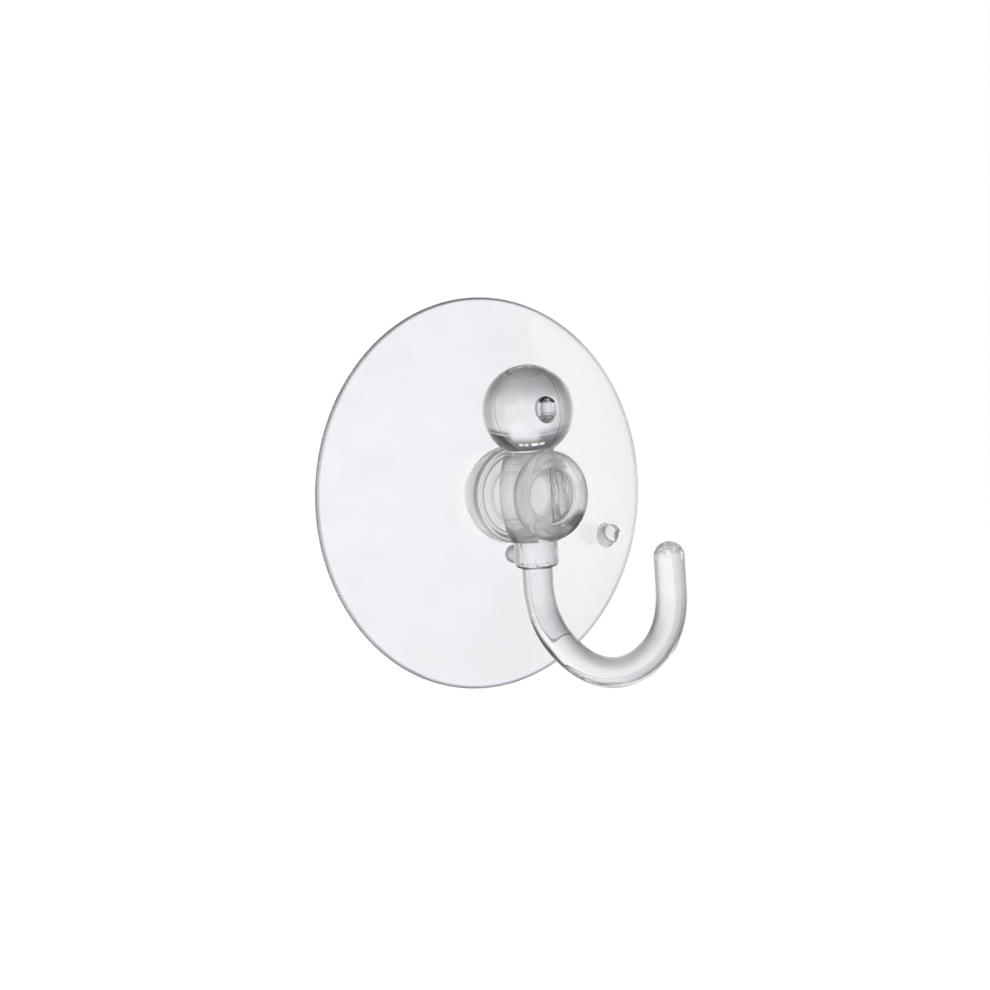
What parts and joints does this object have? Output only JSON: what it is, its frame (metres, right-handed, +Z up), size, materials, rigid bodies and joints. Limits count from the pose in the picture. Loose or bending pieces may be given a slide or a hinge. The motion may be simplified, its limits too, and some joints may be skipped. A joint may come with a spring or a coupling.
{
  "type": "suction cup hook",
  "caption": "Clear suction cup with a clear J-shaped hook that turns on its knob, for hanging light things on a smooth wall, window or tile.",
  "frame": {"origin": "centre of the cup's rim circle, in the plane of the wall", "axes": "+Y into the wall, the knob and hook stand out towards -Y; +Z up, the hook hangs below; +X to the right as seen from the front"},
  "size_m": [0.06, 0.0504, 0.06],
  "materials": {
    "soft_clear": "clear, faintly blue, smooth and glossy soft moulding",
    "rigid_clear": "water-clear, hard and glossy moulding"
  },
  "bodies": {
    "cup": {"suction_cup": "soft_clear"},
    "hook": {"hook": "rigid_clear"}
  },
  "joints": [
    {"name": "hook_swivel", "type": "hinge", "parent": "cup", "child": "hook", "pos_m": [0, -0.01392, 0], "axis": [0, -1, 0], "continuous": true}
  ]
}
